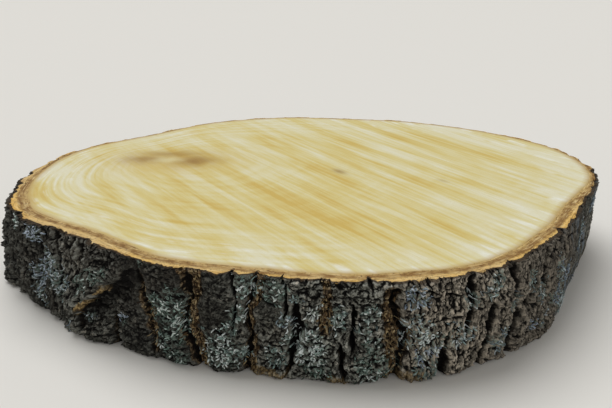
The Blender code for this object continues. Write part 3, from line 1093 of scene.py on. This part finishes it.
def coated(tree, colour, *coats):
    """The colour under coats of others. Each is a colour and its share, as share_of takes it."""
    for coat, *terms in coats:
        inputs = {0: share_of(tree, *terms), 6: colour, 7: coat}
        colour = add(tree, "ShaderNodeMix", inputs, data_type="RGBA").outputs[2]
    return colour


def weighed(tree, *parts):
    """The sum of values, each times its weight."""
    total = 0.0
    for value, weight in parts:
        inputs = {0: value, 1: weight, 2: total}
        total = add(tree, "ShaderNodeMath", inputs, operation="MULTIPLY_ADD").outputs[0]
    return total


def finish(tree, shader, colour, bump_height, distance_mm, strength=1.0):
    """Joins the colour and a bump of that height to the shader."""
    tree.links.new(colour, shader.inputs["Base Color"])
    inputs = {"Height": bump_height, "Distance": distance_mm * MM, "Strength": strength}
    tree.links.new(add(tree, "ShaderNodeBump", inputs).outputs[0], shader.inputs["Normal"])


def end_grain_material():
    """Sawn end grain of a pale hardwood: dull and dry, cream and ochre in the straight bands the saw left.

    Near the left of the rim the bands give way to growth rings, and chalky streaks lie outside the heart.
    """
    wood = settings().wood
    material, tree, shader = start_material("sawn_end_grain_pale_hardwood", 0.62, 0.3)
    bands = speckle(tree, (110, 9, 60), 3.0, -wood.saw_angle)
    narrow = speckle(tree, (42, 1.9, 60), 2.0, -wood.saw_angle)
    patches = speckle(tree, (48, 22, 60), 3.0, -wood.saw_angle)
    straight = speckle(tree, (38, 4.5, 38), 3.0, -wood.saw_angle)
    pores = speckle(tree, 0.9, 2.0)
    plan = add(tree, "ShaderNodeSeparateXYZ", {0: object_coords(tree, 50)}).outputs
    ring = weighed(tree, ("ring", float(wood.ring_count)))
    ring_spot = add(tree, "ShaderNodeCombineXYZ", {0: ring, 1: plan[0], 2: plan[1]}).outputs[0]
    rings = add(tree, "ShaderNodeTexNoise", {"Vector": ring_spot, "Scale": 1.0, "Detail": 2.0}).outputs["Fac"]
    left = share_of(tree, plan[0], 0.9, -1.2)
    near_rim = share_of(tree, share_of(tree, "inward", 8, 46, 1.0, 0.0), 0.0, 0.8, 0.3, 1.0, left)
    summed = weighed(
        tree,
        (bands, share_of(tree, near_rim, 0, 1, 0.46, 0.20)),
        (narrow, share_of(tree, near_rim, 0, 1, 0.30, 0.10)),
        (patches, share_of(tree, near_rim, 0, 1, 0.22, 0.40)),
        (near_rim, -0.03),
        (rings, share_of(tree, near_rim, 0, 1, 0.06, 0.46)),
        (share_of(tree, "inward", 3, 60, -0.05, 0.01), 1.0),
    )
    stops = ((0.41, wood.pale), (0.49, wood.cream), (0.57, wood.straw), (0.66, wood.ochre))
    colour = add(tree, "ShaderNodeValToRGB", {"Fac": summed}, stops).outputs["Color"]
    aside = {0: ring_spot, 1: (7.0, 3.0, 5.0)}
    chalk_spot = add(tree, "ShaderNodeVectorMath", aside, operation="ADD").outputs[0]
    inputs = {"Vector": chalk_spot, "Scale": 1.3, "Detail": 4.0}
    ringed = add(tree, "ShaderNodeTexNoise", inputs).outputs["Fac"]
    chalky = share_of(tree, left, 0.3, 0.9, straight, ringed)
    broken = share_of(tree, speckle(tree, 13, 2.0), 0.42, 0.58)
    colour = coated(
        tree, colour,
        (srgb("e4e5da"), chalky, 0.50, 0.64, 0.0, 0.85, share_of(tree, "inward", 6, 34, 1.0, 0.0), broken),
        (srgb("b89a5e"), "inward", 0.0, 3.4, 0.8, 0.0),
        (srgb("c6a956"), "halo", 0, 1, 0, 0.7),
        (wood.heart, "heart", 0, 1, 0, 0.9),
        (wood.cream, "pith", 0, 1, 0, 0.7),
        (srgb("8a662e"), "mark"),
        (wood.ochre, pores, 0.56, 0.75, 0.0, 0.22),
    )
    finish(tree, shader, colour, weighed(tree, (pores, 1.0), (narrow, 1.0)), 0.25, 0.5)
    return material


def inner_bark_material():
    """Cut inner bark: layered fibre, golden outside and brown against the wood, streaked along its layers."""
    bark = settings().bark
    material, tree, shader = start_material("sawn_fibrous_inner_bark", 0.7, 0.25)
    patches = speckle(tree, 26, 2.0)
    grain = speckle(tree, 2.0, 4.0)
    fine = speckle(tree, 0.8, 3.0)
    mottle = speckle(tree, 5, 3.0)
    wander = share_of(tree, patches, 0.3, 0.7, -0.9, 0.9)
    place = weighed(tree, ("band", 1.0), (share_of(tree, grain, 0.3, 0.7, -0.8, 0.8), 1.0), (wander, 1.0))
    stops = (
        (0.00, srgb("c0a468")), (0.09, srgb("a98a52")), (0.22, bark.brown_line), (0.40, bark.brown_line),
        (0.50, srgb("b08d4c")), (0.60, srgb("dcb66a")), (0.80, bark.golden), (0.94, srgb("b98a45")),
        (1.00, srgb("6b4d26")),
    )
    colour = add(tree, "ShaderNodeValToRGB", {"Fac": share_of(tree, place, 0.0, 9.0)}, stops).outputs["Color"]
    colour = coated(
        tree, colour,
        (srgb("cbb07c"), patches, 0.45, 0.6, 0.0, 0.7, share_of(tree, "band", 3.0, 5.0)),
        (srgb("bd9f66"), mottle, 0.45, 0.62, 0.0, 0.7, share_of(tree, "band", 4.2, 3.4)),
        (srgb("6e4c22"), "streak", 0.12, 0.6, 0.0, 0.75),
        (srgb("e6d09a"), "streak", -0.1, -0.55, 0.0, 0.6),
        (srgb("4a3218"), fine, 0.57, 0.70, 0.0, 0.7),
    )
    finish(tree, shader, colour, fine, 0.4, 0.6)
    return material


def outer_bark_material():
    """Weathered furrowed bark: matt charcoal and grey-brown scales, pale on top from wear and painted
    highlight, and painted shade black in the creases.

    Over the scales lie painted shade in the pits, creases and fissures, rusty fibre on their shelves, tan
    where the bark is torn, painted shadow in the hollows, thin lichen, and brown on the sawn edges.
    """
    bark = settings().bark
    material, tree, shader = start_material("weathered_furrowed_bark", 0.88, 0.2)
    mottle = speckle(tree, 7, 4.0, roughness=0.6)
    grain = speckle(tree, 1.1, 3.0, roughness=0.65)
    upright_grain = speckle(tree, (0.9, 0.9, 3.2), 3.0, roughness=0.65)
    fine = share_of(tree, "right", 0.3, 0.7, grain, upright_grain)
    finer = speckle(tree, 0.7, 2.0)
    flecks = speckle(tree, 1.3, 3.0, roughness=0.6)
    fibre = speckle(tree, (1.0, 1.0, 1.7), 3.0, roughness=0.6)
    muted = share_of(tree, "calm", 0.3, 1.0, 1.0, 0.45)
    streaks = share_of(tree, speckle(tree, (5, 5, 30), 2.0), 0.52, 0.62)
    dusty = share_of(tree, mottle, 0.44, 0.6, 0.1, 0.75)
    # Painted shade in the fissures: darker the deeper they are, and more so on the right.
    fissure_shade = weighed(tree, ("depth", share_of(tree, "right", 0.3, 0.9, 1.0, 2.6)))
    # black is the colour of the painted shade, and highlight that of wear, painted highlight and pale flecks.
    black, highlight = srgb("090706"), coated(tree, srgb("8b8c84"), (srgb("a59b8c"), "warm"))
    colour = coated(
        tree, bark.charcoal,
        (bark.slate, mottle, 0.3, 0.7),
        (bark.grey_brown, "tone", 0.35, 0.95, 0.0, 0.7),
        (bark.warm_grey, "warm", 0, 1, 0, 0.75),
        (srgb("1b1a18"), "chip", 0.45, 0.0, 0.0, 0.7),
        # Pale on the ridges: wear and painted highlight.
        (highlight, "ridge_wear_and_pit_shade", 0.0, 0.9, 0.0, 0.85, share_of(tree, "chip", 0.3, 0.9, 0.1, 1.0), muted),
        # Painted highlight on the fine bump's peaks, and painted shade in its lows.
        (highlight, fine, 0.54, 0.68, 0.0, 0.55, muted),
        (srgb("0f0d0a"), fine, 0.48, 0.37, 0.0, 0.85),
        (srgb("a9a396"), flecks, 0.56, 0.62, 0.0, 1.0, dusty, muted, share_of(tree, "ridge_wear_and_pit_shade", -0.3, 0.2)),
        (srgb("65707a"), "smooth", 0, 1, 0, 0.55, streaks),
    )
    colour = add(tree, "ShaderNodeVectorMath", {0: colour, "Scale": "shade"}, operation="SCALE").outputs[0]
    stops = ((0.38, srgb("120b06")), (0.47, bark.rust), (0.56, srgb("7b684e")), (0.68, srgb("b3a484")))
    rusty = add(tree, "ShaderNodeValToRGB", {"Fac": fibre}, stops).outputs["Color"]
    # Painted shade: the rusty fibre dark in its pits.
    rusty = coated(tree, rusty, (srgb("0c0805"), "ridge_wear_and_pit_shade", 0.0, -0.6, 0.0, 0.9))
    tan = coated(tree, srgb("54432a"), (srgb("c4a874"), fibre, 0.42, 0.62))
    crust = coated(tree, srgb("3a4740"), (srgb("93a79d"), finer))
    crust_shares = share_of(tree, flecks, 0.48, 0.56), share_of(tree, "ridge_wear_and_pit_shade", -0.4, 0.3)
    cut = coated(tree, srgb("1a130c"), (srgb("4c3b26"), fine))
    colour = coated(
        tree, colour,
        # Painted shade: black in the pits.
        (black, "ridge_wear_and_pit_shade", 0.0, -0.55, 0.0, 0.95),
        # Painted shade: black in the broad creases.
        (black, "crease_shade", 0.1, 0.6, 0.0, 0.92),
        # Painted shade: dark in the fissures, the deeper the darker.
        (srgb("120e0a"), fissure_shade, 0.6, 3.2, 0.0, 0.85),
        (rusty, "rust", 0.25, 0.8, 0.0, 0.9),
        # Painted shade: near black at the fissures' bottoms.
        (srgb("0a0705"), "depth", 2.4, 3.6, 0.0, 0.9),
        (tan, "tan"),
        # Painted shadow: dark in the hollow under the torn ledge and in the pit.
        (srgb("0c0a08"), "hollow", 0.0, 1.0, 0.0, 0.75),
        (crust, "crust", 0, 1, 0, 0.75, *crust_shares),
        (cut, "sawn", 0, 1, 0, 0.85),
    )
    finish(tree, shader, colour, weighed(tree, (finer, 1.0), (fine, 1.0)), 0.6, 0.9)
    return material


def lichen_material():
    """Dry leafy lichen: matt mint grey, chalky where it is old, and painted shade dark under its lobes,
    toward each lobe's root.
    """
    lichen = settings().lichen
    material, tree, shader = start_material("dry_leafy_lichen", 0.85, 0.2)
    stops = ((0.0, lichen.moss), (0.38, lichen.mint), (0.8, lichen.chalk))
    colour = add(tree, "ShaderNodeValToRGB", {"Fac": "pale"}, stops).outputs["Color"]
    grain = speckle(tree, 0.8, 2.0)
    colour = coated(
        tree, colour,
        (lichen.sky, "blue", 0, 1, 0, 0.75),
        # Painted shade: each lobe dark toward its root, under the lobes.
        (srgb("27302b"), "tip", 0.7, 0.0, 0.0, 0.7),
        (lichen.moss, grain, 0.5, 0.7, 0.0, 0.5),
    )
    finish(tree, shader, colour, grain, 0.15, 0.5)
    return material


def bark_crumb_material():
    """Crumbs and strands of torn bark fibre: dull dark brown to straw."""
    material, tree, shader = start_material("torn_bark_fibre", 0.8, 0.2)
    stops = ((0.0, srgb("1e150c")), (0.45, srgb("665034")), (1.0, srgb("b5a27a")))
    colour = add(tree, "ShaderNodeValToRGB", {"Fac": "tone"}, stops).outputs["Color"]
    finish(tree, shader, colour, speckle(tree, (0.7, 0.7, 1.2), 2.0), 0.15, 0.5)
    return material


def floor_material():
    """Matt painted studio floor."""
    material, _, shader = start_material("matt_studio_floor", 0.9, 0.1)
    shader.inputs["Base Color"].default_value = settings().stage.floor_colour
    return material


# ---- The stage ----


class WOODSLICE_OT_stage(bpy.types.Operator):
    """Adds the floor, the soft lights and the camera"""

    bl_idname = "wood_slice.stage"
    bl_label = "Stage"

    def execute(self, context):
        stage = settings().stage
        scene = context.scene
        mesh = bpy.data.meshes.new("studio_floor")
        signs = ((-1, -1), (1, -1), (1, 1), (-1, 1))
        corners = [(x * FLOOR_HALF, y * FLOOR_HALF, FLOOR_LEVEL) for x, y in signs]
        mesh.from_pydata(corners, [], [(0, 1, 2, 3)])
        mesh.materials.append(floor_material())
        floor = bpy.data.objects.new("studio_floor", mesh)
        scene.collection.objects.link(floor)
        lamps = (
            ("overhead_light", Vector((-0.4, 0.55, 1.5)), 50, stage.overhead_strength),
            ("front_light", Vector((0.7, -1.6, 0.9)), 40, stage.front_strength),
        )
        for name, toward, softness, strength in lamps:
            light = bpy.data.lights.new(name, "SUN")
            light.angle = math.radians(softness)
            light.energy = strength
            lamp = bpy.data.objects.new(name, light)
            lamp.location = toward
            lamp.rotation_euler = (-toward).to_track_quat("-Z", "Y").to_euler()
            scene.collection.objects.link(lamp)
        world = bpy.data.worlds.new("studio_air")
        world.use_nodes = True
        background = world.node_tree.nodes["Background"]
        background.inputs["Color"].default_value = srgb("f2f0ec")
        background.inputs["Strength"].default_value = stage.air_strength
        scene.world = world
        scene.view_settings.view_transform = "Standard"
        camera_data = bpy.data.cameras.new("camera")
        camera_data.lens = stage.lens
        camera = bpy.data.objects.new("camera", camera_data)
        camera.location = stage.camera_place
        camera.rotation_euler = (math.pi / 2 - stage.camera_dip, 0, 0)
        scene.collection.objects.link(camera)
        scene.camera = camera
        return {"FINISHED"}


# ---- Settings, panel and registration ----


def colour_property(name, description, code):
    """A colour a user can change, from its hex code."""
    return FloatVectorProperty(
        name=name, description=description, subtype="COLOR", size=4, min=0.0, max=1.0, default=srgb(code)
    )


def number_property(name, description, default, **rules):
    """A number a user can change."""
    return FloatProperty(name=name, description=description, default=default, **rules)


class WoodSettings(bpy.types.PropertyGroup):
    """Sizes and colours of the sawn wood."""

    pale: colour_property("Pale", "Palest wood, just inside the rim", "dad6ba")
    cream: colour_property("Cream", "Most of the sawn face", "d5cc9d")
    straw: colour_property("Straw", "Between cream and ochre", "d0c07d")
    ochre: colour_property("Ochre", "Darkest saw bands", "c8ac58")
    heart: colour_property("Heart", "Brown wood round the pith", "967230")
    saw_angle: number_property(
        "Saw Angle", "Direction of the saw's marks from +X", math.radians(-57), subtype="ANGLE"
    )
    ring_count: IntProperty(name="Rings", description="Growth rings from heart to rim", default=34, min=1)
    heart_place: FloatVectorProperty(
        name="Heart Place", description="The heart's centre in plan", size=2, subtype="XYZ", unit="LENGTH",
        default=(-0.073, 0.028),
    )


class BarkSettings(bpy.types.PropertyGroup):
    """Sizes and colours of both barks."""

    relief: number_property("Relief", "Strength of the plates' relief", 1.0, min=0.0, max=1.5)
    fissure_depth: number_property("Fissure Depth", "Share of the full depth", 1.0, min=0.0, max=1.2)
    crumb_count: IntProperty(name="Crumbs", description="Crumbs of torn bark", default=2400, min=1)
    crumb_seed: IntProperty(name="Crumb Seed", description="Changes where the crumbs lie", default=4)
    golden: colour_property("Golden Band", "Inner bark next to the outer bark", "d4a751")
    brown_line: colour_property("Brown Line", "Inner bark next to the wood", "866330")
    charcoal: colour_property("Charcoal", "Darkest bark plates", "252520")
    slate: colour_property("Slate", "Greyer bark plates", "3b3b35")
    grey_brown: colour_property("Grey-Brown", "Paler bark plates", "4b443b")
    warm_grey: colour_property("Warm Grey", "The right's bark", "655f55")
    rust: colour_property("Rust", "Fibre in the fissures", "453420")


class LichenSettings(bpy.types.PropertyGroup):
    """Sizes and colours of the lichen."""

    lobe_length: number_property("Lobe Length", "Usual length of a lobe", 0.0014, unit="LENGTH")
    lobe_width: number_property("Lobe Width", "Usual width of a lobe", 0.00065, unit="LENGTH")
    density: number_property("Density", "Lobes of a patch over its radius squared", 3.4, min=0.1)
    moss: colour_property("Moss", "Darkest lobes", "3f4c44")
    mint: colour_property("Mint", "Greener lobes", "9db8ad")
    chalk: colour_property("Chalk", "Paler lobes", "edf5f1")
    sky: colour_property("Sky", "Bluer lobes", "a9b6d2")


class StageSettings(bpy.types.PropertyGroup):
    """Floor, lights and camera."""

    floor_colour: colour_property("Floor", "Colour of the floor", "e0ded9")
    overhead_strength: number_property("Overhead", "Strength of the overhead light", 2.06, min=0.0)
    front_strength: number_property("Front", "Strength of the front light", 0.5, min=0.0)
    air_strength: number_property("Air", "Light from all round", 0.36, min=0.0)
    lens: number_property("Lens", "Focal length", 47.0, unit="CAMERA")
    camera_place: FloatVectorProperty(
        name="Camera Place", description="Where the camera stands", subtype="XYZ", unit="LENGTH",
        default=(0.0005, -0.3943, 0.1683),
    )
    camera_dip: number_property(
        "Camera Dip", "How far below level it looks", math.radians(19.55), subtype="ANGLE"
    )


class WoodSliceSettings(bpy.types.PropertyGroup):
    """All the settings of the wood slice."""

    wood: PointerProperty(type=WoodSettings)
    bark: PointerProperty(type=BarkSettings)
    lichen: PointerProperty(type=LichenSettings)
    stage: PointerProperty(type=StageSettings)


def settings():
    """The scene's settings of the wood slice."""
    return bpy.context.scene.wood_slice


def grow_bark_as_set():
    """The bark with the scene's settings."""
    bark = settings().bark
    return grow_bark(bark.relief, bark.fissure_depth)


OPERATORS = (
    WOODSLICE_OT_sawn_wood,
    WOODSLICE_OT_inner_bark,
    WOODSLICE_OT_outer_bark,
    WOODSLICE_OT_lichen,
    WOODSLICE_OT_crumbs,
    WOODSLICE_OT_stage,
)


class WOODSLICE_PT_sidebar(bpy.types.Panel):
    """Lists the slice's settings and pieces"""

    bl_label = "Wood Slice"
    bl_space_type = "VIEW_3D"
    bl_region_type = "UI"
    bl_category = "Wood Slice"

    def draw(self, context):
        groups = context.scene.wood_slice
        for name in ("wood", "bark", "lichen", "stage"):
            box = self.layout.box()
            box.label(text=name.title())
            group = getattr(groups, name)
            for key in group.__annotations__:
                box.prop(group, key)
        for operator in OPERATORS:
            self.layout.operator(operator.bl_idname)


CLASSES = (
    WoodSettings,
    BarkSettings,
    LichenSettings,
    StageSettings,
    WoodSliceSettings,
    *OPERATORS,
    WOODSLICE_PT_sidebar,
)


def register():
    for item in CLASSES:
        bpy.utils.register_class(item)
    bpy.types.Scene.wood_slice = PointerProperty(type=WoodSliceSettings)


def unregister():
    del bpy.types.Scene.wood_slice
    for item in reversed(CLASSES):
        bpy.utils.unregister_class(item)


def main():
    register()
    bpy.ops.wood_slice.sawn_wood()
    bpy.ops.wood_slice.inner_bark()
    bpy.ops.wood_slice.outer_bark()
    bpy.ops.wood_slice.lichen()
    bpy.ops.wood_slice.crumbs()
    bpy.ops.wood_slice.stage()


if __name__ == "__main__":
    main()
